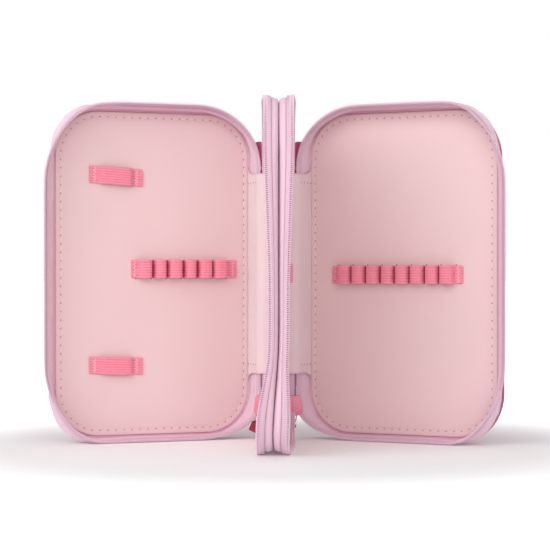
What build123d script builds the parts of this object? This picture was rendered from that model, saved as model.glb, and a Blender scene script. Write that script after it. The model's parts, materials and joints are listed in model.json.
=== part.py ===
from build123d import *
import os
from math import cos, radians, sin

os.makedirs("parts", exist_ok=True)

# A zipped pencil case with two tiers, standing open on its short edge like a book.
# Its middle leaf stands straight out from the spine, and a cover is hinged on each side of it.
# Millimetres, +Z up. The origin is on the ground, at the middle of the opened case's footprint.

# How far each cover is open, counted from the closed case
left_open_angle = 68.0
right_open_angle = 62.0

# Lining boards: the stitched panel in each cover
board_height = 195.0
board_width = 123.3
board_thickness = 1.2
board_corner = 27.0
board_margin = 2.2

# Cover shells: the stiff outer panel behind each board
shell_thickness = 2.5
shell_rim = 2.5
shell_edge_round = 1.2
cover_depth = 17.5

# Piping: the bead sewn round the edge of each shell
piping_stand = 0.9
piping_height = 1.8
piping_seat = 0.1

# Zip line: how far it bows out beyond the lining board, and its four soft corners
zip_bulge_end = 3.5
zip_bulge_front = 12.0
spine_corner_along = 42.0
spine_corner_low = 21.0
spine_corner_high = 36.0
front_corner_along = 37.0
front_corner_up = 46.0
corner_fullness_share = 0.5523

# Zip chain and its tapes
coil_gap = 0.15
coil_height = 1.35
coil_width = 1.5
tape_thickness = 0.9
cover_tape_width = 5.0
middle_tape_width = 3.8
gusset_thickness = 1.2

# Middle leaf
leaf_thickness = 20.6
divider_thickness = 1.6
divider_lining_thickness = 0.8
divider_lining_margin = 1.3
seam_seat = 0.6

# Spine: outer strip and walls, and the lining that covers the hinge inside
spine_top_margin = 20.0
spine_bottom_margin = 16.0
spine_thickness = 0.9
spine_fold_gap = 1.6
hinge_lining_margin = 36.2
hinge_lining_thickness = 0.7
hinge_lining_gap = 0.2

# Zip slider, parked below the hinge lining
slider_length = 12.5
slider_width = 8.4
slider_neck_width = 6.4
slider_plate = 0.9
slider_shoulder = 3.0
slider_shoulder_drop = 0.8
slider_corner = 0.6
slider_travel = 5.0
channel_clearance = 0.4
post_width = 1.2
post_length = 3.6
post_rise = 0.6
plate_stand_off = 0.3
run_clearance = 0.5
run_side_clearance = 1.8
pull_clearance = 5.4
pull_foot_clearance = 0.5
chain_end_clearance = 0.3
chain_width = 1.5
chain_lead = 7.4
chain_top_clearance = 0.3

# Crown, bail and pull tab of each slider
crown_width = 1.8
crown_length = 8.0
crown_wall = 1.2
crown_height = 2.2
crown_bridge = 0.9
bail_wire = 0.8
bail_inner_width = 3.6
bail_length = 11.1
bail_corner = 1.0
tab_width = 7.2
tab_length = 6.1
tab_thickness = 2.0
tab_corner = 1.6
tab_neck_clearance = 0.2
tab_eye_clearance = 0.1
tab_neck_cover = 1.0
tab_step = 0.4

# Zip end stops
stop_height = 3.0
stop_width = 2.0
zip_top_lead = 1.0

# Elastic loops for pencils and tools
strap_thickness = 1.0
strap_width = 11.0
loop_width = 8.2
loop_gap = 1.5
loop_height = 7.0
loop_round = 2.4
left_loop_count = 6
right_loop_count = 8
middle_loop_count = 8
left_strap_start = 10.6
right_strap_start = 17.9
middle_strap_start = 19.3
left_strap_lead = 7.3
right_strap_lead = 4.6
middle_strap_lead = 4.6
left_strap_tail = 3.7
right_strap_tail = 5.3
middle_strap_tail = 5.0
left_strap_height = 2.8
right_strap_height = -0.7
middle_strap_height = 0.0
tool_strap_start = 71.2
tool_strap_length = 33.6
tool_strap_width = 10.4
tool_strap_tab = 5.6
tool_strap_rise = 3.6
tool_strap_slope = 2.4
upper_tool_height = 58.6
lower_tool_height = -55.5

# Overrun of the cuts
overrun = 1.0

# Sizes that follow from the ones above
half_board = board_height / 2
half_case = half_board + zip_bulge_end
board_reach = board_margin + board_width
shell_reach = board_reach + shell_rim
zip_reach = board_reach + zip_bulge_front
hinge_offset = leaf_thickness / 2
board_face = cover_depth - board_thickness
coil_back = coil_gap + coil_height
divider_face = divider_thickness / 2 + divider_lining_thickness
strap_bore = loop_width - 2 * strap_thickness
loop_pitch = loop_width + loop_gap
spine_above = half_case - spine_top_margin
spine_below = half_case - spine_bottom_margin
zip_top_end = half_case - spine_corner_high + zip_top_lead
hinge_lining_height = board_height - 2 * hinge_lining_margin
chain_top = hinge_lining_height / 2 + chain_top_clearance
run_top = chain_top + chain_lead
slider_top = run_top + run_clearance + slider_travel
slider_bottom = slider_top + slider_length
run_bottom = slider_bottom + chain_end_clearance
run_reach = slider_width / 2 + run_side_clearance
pull_reach = tab_width / 2 + pull_clearance
inner_plate_face = coil_width + channel_clearance
outer_plate_back = plate_stand_off + slider_plate
bail_line = outer_plate_back + (crown_height - crown_bridge) / 2
crown_middle = -(slider_top + slider_bottom) / 2
bail_top = crown_middle + bail_wire / 2
bail_bottom = bail_top - bail_length
bail_width = bail_inner_width + 2 * bail_wire
tab_eye = bail_bottom + bail_wire / 2
tab_top = bail_bottom + bail_wire + tab_neck_cover
tab_shoulder = bail_bottom - tab_step
pull_foot = tab_shoulder - tab_length - pull_foot_clearance


def reach_beside(angle):
    """How far a cover opened by this angle reaches sideways from the middle of the spine."""
    turn = radians(angle)
    tape_back = coil_back + cover_tape_width
    return hinge_offset + zip_reach * sin(turn) + tape_back * cos(turn)


def reach_behind(angle):
    """How far a cover opened by this angle reaches behind the spine."""
    turn = radians(angle)
    piping_back = cover_depth + piping_seat + piping_height
    return piping_back * sin(turn) + piping_stand * cos(turn)


# The spine's place beside and in front of the middle of the footprint
spine_x = (reach_beside(left_open_angle) - reach_beside(right_open_angle)) / 2
back_reach = max(reach_behind(left_open_angle), reach_behind(right_open_angle))
spine_y = (zip_reach - back_reach) / 2


class Leaf:
    """One tier's side of the case: its hinge line, and the ways it runs out and gets deeper."""

    def __init__(self, side, open_angle):
        turn = radians(open_angle)
        self.side = side
        self.outward = Vector(side * sin(turn), -cos(turn), 0)
        self.away = Vector(side * cos(turn), sin(turn), 0)
        self.hinge = Vector(spine_x + side * hinge_offset, spine_y, half_case)
        self.deeper = -side

    def face(self, depth):
        """Plane along the leaf: X from the hinge line to the front edge, Y up from mid-height."""
        normal = Vector(-self.side * self.away.X, -self.side * self.away.Y, 0)
        return Plane(origin=self.hinge + self.away * depth, x_dir=self.outward, z_dir=normal)

    def section(self, depth, height, rise):
        """Level plane across the leaf: X from the hinge line to the front edge, Y off a face."""
        up_from_face = self.away * rise
        origin = self.hinge + self.away * depth + Vector(0, 0, height)
        return Plane(origin=origin, x_dir=self.outward, z_dir=self.outward.cross(up_from_face))


class Outline:
    """Closed outline of a leaf: four straight sides joined by soft corners, drawn on its face."""

    def __init__(self, inner, outer, half_height, spine_low, spine_high, front):
        self.inner = inner
        self.outer = outer
        self.half_height = half_height
        self.spine_low = spine_low
        self.spine_high = spine_high
        self.front = front

    def inset(self, by):
        """The same outline, drawn in all round."""
        corners = []
        for along, up in (self.spine_low, self.spine_high, self.front):
            corners.append((along - by, up - by))
        return Outline(self.inner + by, self.outer - by, self.half_height - by, *corners)

    def corner(self, start, along_first, along_second, end):
        """A soft corner between two straight sides."""
        fullness = corner_fullness_share
        first = (start[0] + fullness * along_first[0], start[1] + fullness * along_first[1])
        second = (end[0] - fullness * along_second[0], end[1] - fullness * along_second[1])
        Bezier(start, first, second, end)

    def draw(self):
        """Draws the outline into the line that is being built."""
        low = -self.half_height
        high = self.half_height
        spine_foot = (self.inner, low + self.spine_low[1])
        spine_head = (self.inner, high - self.spine_high[1])
        head_start = (self.inner + self.spine_high[0], high)
        head_end = (self.outer - self.front[0], high)
        front_head = (self.outer, high - self.front[1])
        front_foot = (self.outer, low + self.front[1])
        foot_end = (self.outer - self.front[0], low)
        foot_start = (self.inner + self.spine_low[0], low)
        Line(spine_foot, spine_head)
        self.corner(spine_head, (0, self.spine_high[1]), (self.spine_high[0], 0), head_start)
        Line(head_start, head_end)
        self.corner(head_end, (self.front[0], 0), (0, -self.front[1]), front_head)
        Line(front_head, front_foot)
        self.corner(front_foot, (0, -self.front[1]), (-self.front[0], 0), foot_end)
        Line(foot_end, foot_start)
        self.corner(foot_start, (-self.spine_low[0], 0), (0, self.spine_low[1]), spine_foot)


def rounded_outline(inner, outer, half_height, radius):
    """An outline with four like corners."""
    corner = (radius, radius)
    return Outline(inner, outer, half_height, corner, corner, corner)


board_outline = rounded_outline(board_margin, board_reach, half_board, board_corner)
shell_corner = board_corner + shell_rim
half_shell = half_board + shell_rim
shell_outline = rounded_outline(0, shell_reach, half_shell, shell_corner)
piping_corner = shell_corner + piping_stand
half_piping = half_shell + piping_stand
piping_reach = shell_reach + piping_stand
piping_outline = rounded_outline(-piping_stand, piping_reach, half_piping, piping_corner)
seam_outline = rounded_outline(0, shell_reach, half_board, shell_corner)
zip_spine_low = (spine_corner_along, spine_corner_low)
zip_spine_high = (spine_corner_along, spine_corner_high)
zip_front = (front_corner_along, front_corner_up)
zip_outline = Outline(0, zip_reach, half_case, zip_spine_low, zip_spine_high, zip_front)

left_middle = Leaf(-1, 0)
right_middle = Leaf(1, 0)
left_cover = Leaf(-1, left_open_angle)
right_cover = Leaf(1, right_open_angle)


def save(piece, name):
    """Labels a finished piece and writes it to its own file."""
    piece.part.label = name
    export_step(piece.part, "parts/" + name + ".step")


def make_panel(leaf, outline, near, far):
    """A flat panel of this outline between two depths of a leaf."""
    with BuildPart() as panel:
        with BuildSketch(leaf.face(near)):
            with BuildLine():
                outline.draw()
            make_face()
        extrude(amount=leaf.deeper * (far - near))
    return panel


def make_shell(leaf):
    """The stiff outer panel of a cover, with its outer edge rounded over."""
    with BuildPart() as shell:
        with BuildSketch(leaf.face(cover_depth)):
            with BuildLine():
                shell_outline.draw()
            make_face()
        extrude(amount=leaf.deeper * shell_thickness)
        outer_face = shell.faces().sort_by(Axis(leaf.hinge, leaf.away))[-1]
        fillet(outer_face.edges(), radius=shell_edge_round)
    return shell


def make_piping(leaf):
    """The bead round the edge of a shell."""
    near = cover_depth + piping_seat
    with BuildPart() as piping:
        with BuildSketch(leaf.face(near)):
            with BuildLine():
                piping_outline.draw()
            make_face()
            with BuildLine():
                shell_outline.draw()
            make_face(mode=Mode.SUBTRACT)
        extrude(amount=leaf.deeper * piping_height)
    return piping


def make_gusset(leaf, near, near_outline, far, far_outline):
    """The soft wall between a panel's edge and the zip tape, as a closed ring."""
    with BuildPart() as gusset:
        with BuildSketch(leaf.face(near)):
            with BuildLine():
                near_outline.draw()
            make_face()
        with BuildSketch(leaf.face(far)):
            with BuildLine():
                far_outline.draw()
            make_face()
        loft(ruled=True)
        with BuildSketch(leaf.face(near)):
            with BuildLine():
                near_outline.inset(gusset_thickness).draw()
            make_face()
        with BuildSketch(leaf.face(far)):
            with BuildLine():
                far_outline.inset(gusset_thickness).draw()
            make_face()
        loft(ruled=True, mode=Mode.SUBTRACT)
    return gusset


def make_zip_band(leaf, near, far, width, gap_high):
    """A band along the zip line, left open at the hinge from the slider's foot up to a height."""
    foot = -run_bottom
    with BuildPart() as band:
        with BuildSketch(leaf.face(near)):
            with BuildLine():
                zip_outline.draw()
            make_face()
            with BuildLine():
                zip_outline.inset(width).draw()
            make_face(mode=Mode.SUBTRACT)
            with Locations((0, (foot + gap_high) / 2)):
                Rectangle(2 * run_reach, gap_high - foot, mode=Mode.SUBTRACT)
            if near > 0:
                with Locations((0, (foot + pull_foot) / 2)):
                    Rectangle(2 * pull_reach, foot - pull_foot, mode=Mode.SUBTRACT)
        extrude(amount=leaf.deeper * (far - near))
    return band


def make_zip_tape(leaf, near, far):
    """The woven tape behind the zip coil, notched where the slider runs and its pull hangs."""
    return make_zip_band(leaf, near, far, tape_thickness, -run_top)


def make_zip_coil(leaf, near, far):
    """The coil along the edge of a tape, from the slider right round to the zip's top end."""
    return make_zip_band(leaf, near, far, coil_width, zip_top_end)


def make_zip_stop(leaf, near, far):
    """The crimped stop at the top end of a coil."""
    with BuildPart() as stop:
        with BuildSketch(leaf.face(near)):
            with Locations((stop_width / 2, zip_top_end - stop_height / 2)):
                Rectangle(stop_width, stop_height)
        extrude(amount=leaf.deeper * (far - near))
    return stop


def make_joined_chain(leaf):
    """The short stretch of closed zip that shows between the hinge lining and the slider."""
    reach = chain_width / 2
    with BuildPart() as chain:
        with BuildSketch(leaf.face(-coil_back)):
            with Locations((coil_width / 2, -(chain_top + run_top) / 2)):
                Rectangle(coil_width, run_top - chain_top)
        extrude(amount=leaf.deeper * (coil_back + reach))
    return chain


def make_hinge_lining(leaf, near, far):
    """The lining strip that covers the hinge on the inside."""
    with BuildPart() as strip:
        with BuildSketch(leaf.face(near)):
            with Locations((gusset_thickness + hinge_lining_thickness / 2, 0)):
                Rectangle(hinge_lining_thickness, hinge_lining_height)
        extrude(amount=leaf.deeper * (far - near))
    return strip


def make_spine_wall(leaf):
    """The outer wall between a cover's shell and the hinge, cut back round the slider."""
    width = cover_depth - spine_fold_gap
    with BuildPart() as wall:
        with BuildSketch(leaf.face(spine_fold_gap)):
            with Locations((-spine_thickness / 2, (spine_above - spine_below) / 2)):
                Rectangle(spine_thickness, spine_above + spine_below)
        extrude(amount=leaf.deeper * width)
        with BuildSketch(leaf.face(0)):
            notch_height = spine_below + overrun - run_top
            with Locations((-spine_thickness / 2, -run_top - notch_height / 2)):
                Rectangle(2 * spine_thickness, notch_height)
        extrude(amount=leaf.deeper * run_reach, mode=Mode.SUBTRACT)
    return wall


def make_spine_centre():
    """The outer strip down the middle of the spine, cut back round both sliders."""
    back = Plane(origin=(spine_x, spine_y, half_case), x_dir=(1, 0, 0), z_dir=(0, -1, 0))
    width = leaf_thickness - 2 * spine_fold_gap
    notch_width = run_reach - spine_fold_gap
    with BuildPart() as strip:
        with BuildSketch(back):
            with Locations((0, (spine_above - spine_below) / 2)):
                Rectangle(width, spine_above + spine_below)
            notch_height = spine_below + overrun - run_top
            for side in (-1, 1):
                middle = side * (width / 2 - notch_width / 2)
                with Locations((middle, -run_top - notch_height / 2)):
                    Rectangle(notch_width, notch_height, mode=Mode.SUBTRACT)
        extrude(amount=-spine_thickness)
    return strip


def draw_slider_plate():
    """Outline of a slider plate: narrow at the neck, wide at the two shoulders."""
    neck = slider_neck_width / 2
    wide = slider_width / 2
    shoulder = -slider_bottom + slider_shoulder
    heel = -slider_bottom + slider_shoulder_drop
    right = [(neck, -slider_top), (wide, shoulder), (neck, heel)]
    left = [(-neck, heel), (-wide, shoulder), (-neck, -slider_top)]
    Polyline(*right, (0, -slider_bottom), *left, close=True)


def hinge_front(leaf, back):
    """Upright plane through a hinge line, facing the way the middle leaf points."""
    origin = leaf.hinge + Vector(0, back, 0)
    return Plane(origin=origin, x_dir=(1, 0, 0), z_dir=(0, -1, 0))


def make_slider(leaf):
    """The zip slider: two plates, the post between them and the crown that holds the bail."""
    with BuildPart() as slider:
        for back in (-inner_plate_face, outer_plate_back):
            with BuildSketch(hinge_front(leaf, back)) as plate:
                with BuildLine():
                    draw_slider_plate()
                make_face()
                fillet(plate.vertices(), radius=slider_corner)
            extrude(amount=slider_plate)
        with BuildSketch(hinge_front(leaf, plate_stand_off)):
            with Locations((0, -slider_bottom + post_rise + post_length / 2)):
                Rectangle(post_width, post_length)
        extrude(amount=plate_stand_off + inner_plate_face)
        with BuildSketch(hinge_front(leaf, outer_plate_back + crown_height)):
            with Locations((0, crown_middle)):
                Rectangle(crown_width, crown_length)
        extrude(amount=crown_height)
        with BuildSketch(hinge_front(leaf, outer_plate_back + crown_height - crown_bridge)):
            with Locations((0, crown_middle)):
                Rectangle(2 * crown_width, crown_length - 2 * crown_wall)
        extrude(amount=crown_height - crown_bridge, mode=Mode.SUBTRACT)
    return slider


def make_pull_bail(leaf):
    """The flat metal loop that hangs in the crown."""
    with BuildPart() as bail:
        with BuildSketch(hinge_front(leaf, bail_line + bail_wire / 2)):
            with Locations((0, (bail_top + bail_bottom) / 2)):
                RectangleRounded(bail_width, bail_length, bail_corner)
                Rectangle(bail_inner_width, bail_length - 2 * bail_wire, mode=Mode.SUBTRACT)
        extrude(amount=bail_wire)
    return bail


def make_pull_tab(leaf):
    """The tab that hangs on the bail's lower bar."""
    neck_width = bail_inner_width - 2 * tab_neck_clearance
    neck_height = tab_top - tab_shoulder
    eye_size = bail_wire + 2 * tab_eye_clearance
    with BuildPart() as tab:
        with BuildSketch(hinge_front(leaf, bail_line + tab_thickness / 2)):
            with Locations((0, tab_shoulder - tab_length / 2)):
                RectangleRounded(tab_width, tab_length, tab_corner)
            with Locations((0, tab_shoulder + (neck_height - tab_corner) / 2)):
                Rectangle(neck_width, neck_height + tab_corner)
        extrude(amount=tab_thickness)
        with BuildSketch(hinge_front(leaf, bail_line + eye_size / 2)):
            with Locations((0, tab_eye)):
                Rectangle(2 * neck_width, eye_size)
        extrude(amount=eye_size, mode=Mode.SUBTRACT)
    return tab


def make_pencil_loops(leaf, depth, rise, start, lead, tail, count, height):
    """An elastic strap sewn down in valleys, so that it stands up in a row of loops."""
    first = start + lead + loop_width / 2
    centres = [(first + index * loop_pitch, 0) for index in range(count)]
    end = centres[-1][0] + loop_width / 2 + tail
    with BuildPart() as strap:
        with BuildSketch(leaf.section(depth, height, rise)):
            with Locations(((start + end) / 2, strap_thickness / 2)):
                Rectangle(end - start, strap_thickness)
            with Locations(*centres):
                RectangleRounded(loop_width, 2 * loop_height, loop_round)
            with Locations(*centres):
                bore_height = 2 * (loop_height - strap_thickness)
                bore_round = loop_round - strap_thickness
                RectangleRounded(strap_bore, bore_height, bore_round, mode=Mode.SUBTRACT)
            with Locations(((start + end) / 2, -loop_height / 2)):
                Rectangle(end - start + 2 * overrun, loop_height, mode=Mode.SUBTRACT)
        extrude(amount=strap_width / 2, both=True)
    return strap


def make_tool_loop(leaf, height):
    """A wide elastic loop: sewn down at both ends and standing clear of the board between."""
    start = tool_strap_start
    end = tool_strap_start + tool_strap_length
    foot = start + tool_strap_tab
    far_foot = end - tool_strap_tab
    shelf = foot + tool_strap_slope
    far_shelf = far_foot - tool_strap_slope
    under = tool_strap_rise - strap_thickness
    top = [(far_foot, strap_thickness), (far_shelf, tool_strap_rise)]
    top += [(shelf, tool_strap_rise), (foot, strap_thickness)]
    below = [(foot + strap_thickness, 0), (shelf + strap_thickness, under)]
    below += [(far_shelf - strap_thickness, under), (far_foot - strap_thickness, 0)]
    with BuildPart() as strap:
        with BuildSketch(leaf.section(board_face, height, -1)):
            with BuildLine():
                Polyline((end, 0), (end, strap_thickness), *top, (start, strap_thickness),
                         (start, 0), *below, close=True)
            make_face()
        extrude(amount=tool_strap_width / 2, both=True)
    return strap


def make_middle_side(leaf, name):
    """One side of the middle leaf: lining, soft wall, zip tape, coil and hinge lining."""
    divider_side = divider_thickness / 2 - hinge_offset
    lining_face = divider_face - hinge_offset
    tape_far = -coil_back
    tape_near = -coil_back - middle_tape_width
    lining_outline = seam_outline.inset(gusset_thickness + divider_lining_margin)
    save(make_panel(leaf, lining_outline, divider_side, lining_face), name + "_lining")
    gusset = make_gusset(leaf, divider_side, seam_outline, tape_near, zip_outline)
    save(gusset, name + "_gusset")
    save(make_zip_tape(leaf, tape_near, tape_far), name + "_zip_tape")
    save(make_zip_coil(leaf, tape_far, -coil_gap), name + "_zip_coil")
    save(make_zip_stop(leaf, -coil_back, -coil_gap), name + "_zip_stop")
    save(make_hinge_lining(leaf, lining_face, -hinge_lining_gap), name + "_hinge_lining")


def make_cover(leaf, name):
    """One cover: shell, piping, lining board, soft wall, zip tape, coil and its spine side."""
    tape_far = coil_back + cover_tape_width
    save(make_shell(leaf), name + "_shell")
    save(make_piping(leaf), name + "_piping")
    save(make_panel(leaf, board_outline, board_face, cover_depth), name + "_lining_board")
    gusset = make_gusset(leaf, tape_far, zip_outline, cover_depth, shell_outline)
    save(gusset, name + "_gusset")
    save(make_zip_tape(leaf, coil_back, tape_far), name + "_zip_tape")
    save(make_zip_coil(leaf, coil_gap, coil_back), name + "_zip_coil")
    save(make_zip_stop(leaf, coil_gap, coil_back), name + "_zip_stop")
    save(make_spine_wall(leaf), name + "_spine_wall")
    save(make_hinge_lining(leaf, hinge_lining_gap, cover_depth), name + "_hinge_lining")


def make_slider_group(leaf, name):
    """A slider with its pull, and the stretch of joined chain that it hangs from."""
    save(make_joined_chain(leaf), name + "_joined_chain")
    save(make_slider(leaf), name + "_slider")
    save(make_pull_bail(leaf), name + "_pull_bail")
    save(make_pull_tab(leaf), name + "_pull_tab")


# Middle leaf
divider_side = divider_thickness / 2 - hinge_offset
divider = make_panel(right_middle, seam_outline.inset(seam_seat), divider_side,
                     divider_side - divider_thickness)
save(divider, "divider_board")
make_middle_side(left_middle, "middle_left")
make_middle_side(right_middle, "middle_right")
save(make_spine_centre(), "spine_centre_strip")
middle_loops = make_pencil_loops(right_middle, divider_face - hinge_offset, 1,
                                 middle_strap_start, middle_strap_lead, middle_strap_tail,
                                 middle_loop_count, middle_strap_height)
save(middle_loops, "middle_pencil_loops")

# Covers
make_cover(left_cover, "left")
make_cover(right_cover, "right")
left_loops = make_pencil_loops(left_cover, board_face, -1, left_strap_start,
                               left_strap_lead, left_strap_tail, left_loop_count,
                               left_strap_height)
save(left_loops, "left_pencil_loops")
right_loops = make_pencil_loops(right_cover, board_face, -1, right_strap_start,
                                right_strap_lead, right_strap_tail, right_loop_count,
                                right_strap_height)
save(right_loops, "right_pencil_loops")
save(make_tool_loop(left_cover, upper_tool_height), "left_upper_tool_loop")
save(make_tool_loop(left_cover, lower_tool_height), "left_lower_tool_loop")

# Sliders and pulls
make_slider_group(left_middle, "left")
make_slider_group(right_middle, "right")
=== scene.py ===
"""Two-tier zipped pencil case: the looks that go over its CAD frame."""

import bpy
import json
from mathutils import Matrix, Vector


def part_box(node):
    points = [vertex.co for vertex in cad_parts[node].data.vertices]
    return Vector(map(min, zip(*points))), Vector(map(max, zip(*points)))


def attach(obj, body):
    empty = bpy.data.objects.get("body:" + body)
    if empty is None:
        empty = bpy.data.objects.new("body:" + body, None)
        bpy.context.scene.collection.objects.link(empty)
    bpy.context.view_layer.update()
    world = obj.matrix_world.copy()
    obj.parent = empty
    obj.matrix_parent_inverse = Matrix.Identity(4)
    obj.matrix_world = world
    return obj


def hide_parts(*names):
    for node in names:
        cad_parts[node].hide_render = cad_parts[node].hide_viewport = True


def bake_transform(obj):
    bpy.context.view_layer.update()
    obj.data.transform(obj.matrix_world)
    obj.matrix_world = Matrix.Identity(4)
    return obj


bl_info = {
    "name": "Two-tier pencil case",
    "version": (1, 0, 0),
    "blender": (4, 5, 0),
    "location": "3D View > Sidebar > Pencil case",
    "description": "Sews and finishes the pieces of an opened two-tier pencil case",
    "category": "Object",
}

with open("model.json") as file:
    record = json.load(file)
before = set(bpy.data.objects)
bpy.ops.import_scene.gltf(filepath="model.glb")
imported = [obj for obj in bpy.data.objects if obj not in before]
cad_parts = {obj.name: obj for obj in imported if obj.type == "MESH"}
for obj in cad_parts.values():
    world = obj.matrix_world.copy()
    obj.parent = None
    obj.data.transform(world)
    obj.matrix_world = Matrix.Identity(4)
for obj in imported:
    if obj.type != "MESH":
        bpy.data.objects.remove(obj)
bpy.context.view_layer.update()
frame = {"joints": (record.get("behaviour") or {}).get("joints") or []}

import json
from contextlib import contextmanager
from math import cos, pi, radians, sin

import bpy
import numpy as np
from bpy.props import FloatProperty, FloatVectorProperty, IntProperty, PointerProperty
from mathutils import Matrix, Vector

joints = {joint["name"]: joint for joint in frame["joints"]}

# The case's outlines, in millimetres along a leaf from its hinge and up from mid-height
case_half = 101.0
board_half = 97.5
shell_half = 100.0
shell_reach = 128.0
zip_reach = 137.5
corner_fullness = 0.5523

# Depths from the zip's plane, in millimetres: plus is away from the middle leaf
cover_depth = 17.5
board_face = 16.3
leaf_half = 10.3
lining_face = -8.7

# How deep a middle leaf's zip band goes, before its soft wall rolls in
band_depth = 5.3

# The pencil loops: from one to the next, from a loop's middle to its foot, and how high an
# elastic lies where it is sewn flat
loop_pitch = 9.7
loop_half = 4.1
flat_height = 0.95

# A panel's inner rows: how far up and down they run, and their shares of the way to its middle
inner_half = 60
inner_shares = (0.12, 0.26, 0.42, 0.6, 0.8, 0.96)


def ink(red, green, blue):
    """A colour as it looks on screen, turned into the linear colour that shaders use."""
    values = []
    for part in (red, green, blue):
        part /= 255
        values.append(part / 12.92 if part <= 0.04045 else ((part + 0.055) / 1.055) ** 2.4)
    return tuple(values)


def smooth(value):
    """Eases from 0 to 1 as the value goes from 0 to 1."""
    value = np.clip(value, 0, 1)
    return value * value * (3 - 2 * value)


# Sizes and colours a maker may change

def length_setting(name, description, default):
    return FloatProperty(name=name, description=description, default=default, unit="LENGTH",
                         min=0.0, precision=5)


def colour_setting(name, description, default):
    return FloatVectorProperty(name=name, description=description, default=default, size=3,
                               subtype="COLOR", min=0.0, max=1.0)


class PencilCaseSizes(bpy.types.PropertyGroup):
    """Sizes of the sewing, zips and elastics"""

    stitch_pitch: length_setting("Stitch pitch", "From one needle hole to the next", 0.00505)
    stitch_inset: length_setting("Stitch inset", "From a panel's edge to its stitches", 0.00335)
    tooth_pitch: length_setting("Tooth pitch", "From one coil tooth to the next", 0.00118)
    tooth_reach: length_setting("Tooth reach", "How far a tooth lies over its tape", 0.0026)
    wall_thickness: length_setting("Wall cloth", "Thickness of the soft walls", 0.0011)
    wall_bulge: length_setting("Wall bulge", "How far a cover's soft wall swells", 0.0007)
    tape_thickness: length_setting("Zip tape", "Thickness of the woven zip tapes", 0.0008)
    piping_radius: length_setting("Piping radius", "Half the thickness of the piping", 0.00095)
    elastic_thickness: length_setting("Elastic", "Thickness of the ribbed elastics", 0.0009)
    elastic_rib: length_setting("Elastic rib", "Height of one rib of the elastics", 0.00022)
    spine_thickness: length_setting("Spine cloth", "Thickness of the spine's cover", 0.0009)
    hinge_thickness: length_setting("Hinge lining", "Thickness of the hinge linings", 0.0007)
    foot_lean: length_setting("Foot lean", "How far the middle leaf's foot leans left", 0.0034)
    head_sag: length_setting("Head sag", "How far the middle leaf's front top sinks", 0.0017)
    lip_flare: length_setting("Lip flare", "How far a cover's opened zip flares up", 0.0018)
    elastic_ribs: IntProperty(name="Elastic ribs", description="Ribs across an elastic",
                              default=7, min=3, max=12)


class PencilCaseColours(bpy.types.PropertyGroup):
    """Colours of the cloths, threads and hardware"""

    board: colour_setting("Lining boards", "Stitched pale panels", ink(230, 202, 204))
    board_hem: colour_setting("Board hems", "Turned edges of the panels", ink(236, 196, 194))
    flap: colour_setting("Hinge linings", "Pale panels beside the spine", ink(238, 217, 219))
    thread: colour_setting("Thread", "Stitches on the boards", ink(245, 218, 215))
    # Painted shade: the dark discs that stand for the shade inside the needle holes.
    needle_hole: colour_setting("Needle holes", "Dots between stitches", ink(150, 92, 102))
    wall: colour_setting("Soft walls", "Cloth between board and zip", ink(238, 205, 220))
    # Painted shade: the colour the soft walls and hinge linings take where they are creased and
    # sewn in.
    crease: colour_setting("Creases", "Where soft walls are sewn in", ink(212, 146, 174))
    tape: colour_setting("Zip tapes", "Woven tape beside the teeth", ink(234, 199, 216))
    # Painted shade: the tape's colour in the shade under and between the teeth.
    tape_deep: colour_setting("Under the teeth", "Tape between teeth", ink(192, 136, 166))
    # Painted shade: a darker copy of the coil's nylon, for the closed chain lying in shade.
    chain: colour_setting("Joined chains", "The zips' closed stretch", ink(176, 111, 147))
    tooth: colour_setting("Zip teeth", "The nylon coil", ink(234, 204, 219))
    seam: colour_setting("Centre seam", "Edge of the middle sheet", ink(178, 96, 134))
    shell: colour_setting("Shell", "Outer panels", ink(192, 64, 116))
    piping: colour_setting("Piping", "Cord between shell and wall", ink(190, 108, 144))
    spine: colour_setting("Spine", "Outer cloth of the spine", ink(204, 60, 118))
    elastic: colour_setting("Elastics", "Ribbed loops", ink(247, 150, 170))
    # Painted shade in the valleys where the loops are sewn down between each two.
    elastic_deep: colour_setting("Elastic valleys", "Between two loops", ink(198, 34, 84))
    elastic_thread: colour_setting("Elastic thread", "Zigzag rows", ink(255, 205, 212))
    slider: colour_setting("Sliders", "Painted metal", ink(232, 138, 160))
    metal: colour_setting("Bails and stops", "Bare metal", ink(214, 206, 208))
    pull: colour_setting("Pulls", "Rubber tabs", ink(176, 20, 48))


def sizes():
    return bpy.context.scene.pencil_case_sizes


def colours():
    return bpy.context.scene.pencil_case_colours


def mm(length):
    return length * 1000


# Shader maths

class Amount:
    """A number that changes over a surface. Sums written with it add Math nodes."""

    def __init__(self, paint, socket):
        self.paint = paint
        self.socket = socket

    def joined(self, operation, *sockets):
        return self.paint.amount("ShaderNodeMath", {"operation": operation}, sockets)

    def __add__(self, other):
        return self.joined("ADD", self, other)

    __radd__ = __add__

    def __rsub__(self, other):
        return self.joined("SUBTRACT", other, self)

    def __mul__(self, other):
        return self.joined("MULTIPLY", self, other)

    __rmul__ = __mul__

    def sine(self):
        return self.joined("SINE", self)

    def ribs(self, pitch):
        """Waves of this pitch."""
        return (self * (2 * pi / pitch)).sine()

    def eased(self, low, high):
        """0 below low, 1 above high, and a smooth step between them."""
        settings = {"interpolation_type": "SMOOTHSTEP"}
        return self.paint.amount("ShaderNodeMapRange", settings, {"Value": self,
                                 "From Min": low, "From Max": high})


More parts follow.
